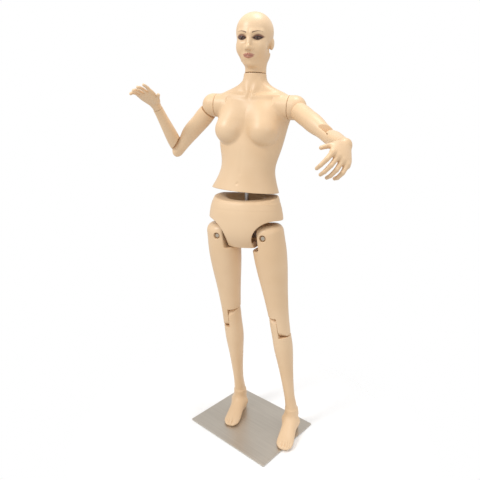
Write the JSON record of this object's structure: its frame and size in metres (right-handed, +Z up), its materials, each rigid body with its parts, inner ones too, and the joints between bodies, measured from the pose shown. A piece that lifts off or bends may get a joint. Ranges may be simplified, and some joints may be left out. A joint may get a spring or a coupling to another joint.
{
  "type": "full body mannequin",
  "caption": "Full body shop mannequin standing on a square-edged steel base, with jointed knees, hips, waist, neck, shoulders, elbows and wrists.",
  "frame": {"origin": "floor level under the centre of the base plate", "axes": "+Z up, +X along the plate's long side towards the mannequin's left, -Y the plate's front edge"},
  "size_m": [0.9539, 0.5467, 1.7552],
  "materials": {
    "skin_plastic": "satin moulded skin tone",
    "brushed_plate": "brushed",
    "fitting_steel": "zinc plated",
    "bush_plastic": "moulded",
    "board_wood": "raw board",
    "pad_rubber": "matte"
  },
  "bodies": {
    "base": {"base_plate": "brushed_plate", "base_pads": "pad_rubber", "support_rod": "fitting_steel", "rod_screw": "fitting_steel"},
    "lower_leg_right": {"shin_foot_right": "skin_plastic", "rod_sleeve": "fitting_steel", "set_screw": "fitting_steel"},
    "thigh_right": {"thigh_right": "skin_plastic", "hip_bolt_right": "fitting_steel", "hip_nut_right": "fitting_steel", "knee_pin_right": "fitting_steel"},
    "pelvis": {"pelvis_shell": "skin_plastic", "hip_bar": "fitting_steel", "waist_post": "fitting_steel", "waist_nut": "fitting_steel", "waist_collar": "fitting_steel"},
    "thigh_left": {"thigh_left": "skin_plastic", "hip_bolt_left": "fitting_steel", "hip_nut_left": "fitting_steel", "knee_pin_left": "fitting_steel"},
    "lower_leg_left": {"shin_foot_left": "skin_plastic"},
    "torso": {"torso_shell": "skin_plastic", "waist_plate": "board_wood", "waist_bush": "bush_plastic", "neck_socket": "bush_plastic", "shoulder_bush_right": "bush_plastic", "shoulder_bush_left": "bush_plastic"},
    "head": {"head_shell": "skin_plastic", "neck_peg": "bush_plastic"},
    "shoulder_cap_right": {"shoulder_cap_right": "skin_plastic", "shoulder_axle_right": "fitting_steel", "shoulder_nut_right": "fitting_steel"},
    "upper_arm_right": {"upper_arm_right": "skin_plastic", "arm_spigot_right": "bush_plastic", "elbow_pin_right": "fitting_steel"},
    "forearm_right": {"forearm_right": "skin_plastic"},
    "hand_right": {"hand_right": "skin_plastic", "wrist_peg_right": "bush_plastic"},
    "shoulder_cap_left": {"shoulder_cap_left": "skin_plastic", "shoulder_axle_left": "fitting_steel", "shoulder_nut_left": "fitting_steel"},
    "upper_arm_left": {"upper_arm_left": "skin_plastic", "arm_spigot_left": "bush_plastic", "elbow_pin_left": "fitting_steel"},
    "forearm_left": {"forearm_left": "skin_plastic"},
    "hand_left": {"hand_left": "skin_plastic", "wrist_peg_left": "bush_plastic"}
  },
  "joints": [
    {"name": "stand_turn", "type": "hinge", "parent": "base", "child": "lower_leg_right", "pos_m": [-0.11293, 0.04685, 0.006], "axis": [0, 0, 1], "range_deg": [-30, 30]},
    {"name": "knee_right_bend", "type": "hinge", "parent": "lower_leg_right", "child": "thigh_right", "pos_m": [-0.11314, -0.00665, 0.50916], "axis": [-0.9354, -0.3506, -0.0466], "range_deg": [0, 60]},
    {"name": "hip_right_spread", "type": "hinge", "parent": "thigh_right", "child": "pelvis", "pos_m": [-0.11334, -0.05883, 0.90575], "axis": [0.3537, -0.9274, -0.1219], "range_deg": [0, 14]},
    {"name": "hip_left_spread", "type": "hinge", "parent": "pelvis", "child": "thigh_left", "pos_m": [0.07334, 0.01283, 0.90225], "axis": [0.3571, -0.9328, -0.0488], "range_deg": [0, 8]},
    {"name": "knee_left_bend", "type": "hinge", "parent": "thigh_left", "child": "lower_leg_left", "pos_m": [0.11776, 0.05056, 0.50652], "axis": [0.9274, 0.3479, 0.1373], "range_deg": [0, 60]},
    {"name": "waist_turn", "type": "hinge", "parent": "pelvis", "child": "torso", "pos_m": [-0.02073, -0.01257, 1.07897], "axis": [0.0163, 0.0063, 0.9998], "range_deg": [-30, 30]},
    {"name": "head_turn", "type": "hinge", "parent": "torso", "child": "head", "pos_m": [0.01463, -0.00289, 1.53361], "axis": [0.0847, 0.0005, 0.9964], "range_deg": [-60, 60]},
    {"name": "shoulder_right_swing", "type": "hinge", "parent": "torso", "child": "shoulder_cap_right", "pos_m": [-0.15427, -0.06878, 1.42656], "axis": [-0.9413, -0.3278, 0.0802], "range_deg": [-15, 100]},
    {"name": "arm_right_twist", "type": "hinge", "parent": "shoulder_cap_right", "child": "upper_arm_right", "pos_m": [-0.15427, -0.06878, 1.42656], "axis": [0.75, 0.1058, 0.6529], "range_deg": [-50, 50]},
    {"name": "elbow_right_bend", "type": "hinge", "parent": "upper_arm_right", "child": "forearm_right", "pos_m": [-0.35302, -0.09681, 1.25354], "axis": [-0.5792, 0.5817, 0.5711], "range_deg": [-120, 1.5]},
    {"name": "wrist_right_turn", "type": "hinge", "parent": "forearm_right", "child": "hand_right", "pos_m": [-0.32333, -0.22309, 1.41228], "axis": [-0.1448, 0.616, -0.7743], "range_deg": [-80, 80]},
    {"name": "shoulder_left_swing", "type": "hinge", "parent": "torso", "child": "shoulder_cap_left", "pos_m": [0.16956, 0.04398, 1.39898], "axis": [-0.9413, -0.3278, 0.0802], "range_deg": [-70, 40]},
    {"name": "arm_left_twist", "type": "hinge", "parent": "shoulder_cap_left", "child": "upper_arm_left", "pos_m": [0.16956, 0.04398, 1.39898], "axis": [-0.8148, 0.3526, 0.4602], "range_deg": [-50, 50]},
    {"name": "elbow_left_bend", "type": "hinge", "parent": "upper_arm_left", "child": "forearm_left", "pos_m": [0.38548, -0.04945, 1.27701], "axis": [-0.5699, -0.3412, -0.7476], "range_deg": [-30, 90]},
    {"name": "wrist_left_turn", "type": "hinge", "parent": "forearm_left", "child": "hand_left", "pos_m": [0.51461, -0.20638, 1.25019], "axis": [-0.6299, 0.7655, 0.1309], "range_deg": [-80, 80]}
  ],
  "couplings": [
    {"joint": "knee_left_bend", "follows": "knee_right_bend", "ratio": 1}
  ]
}
